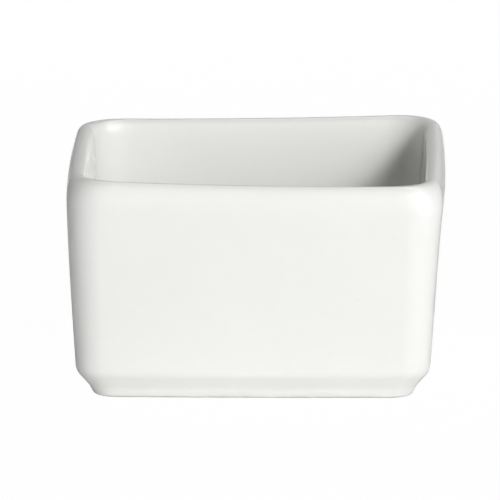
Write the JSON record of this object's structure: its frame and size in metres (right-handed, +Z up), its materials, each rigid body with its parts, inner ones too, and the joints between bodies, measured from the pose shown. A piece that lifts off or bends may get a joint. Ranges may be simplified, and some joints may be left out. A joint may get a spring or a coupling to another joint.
{
  "type": "square ramekin",
  "caption": "Small straight-sided square ramekin of white glazed porcelain with rounded corners, a soft rim and a low inset foot, for baking and serving.",
  "frame": {"origin": "under the middle of the dish, on the surface that its foot ring stands on", "axes": "+Z up through the opening, X and Y square to the walls; the picture looks along +Y"},
  "size_m": [0.075, 0.075, 0.0443],
  "materials": {
    "bare_porcelain": "unglazed fired porcelain, fine matt grain",
    "white_glaze": "opaque white gloss glaze",
    "underside_glaze": "opaque white gloss glaze, slightly duller"
  },
  "bodies": {
    "root": {"porcelain_body": "bare_porcelain", "glaze_coat": "white_glaze", "base_glaze": "underside_glaze"}
  },
  "joints": []
}
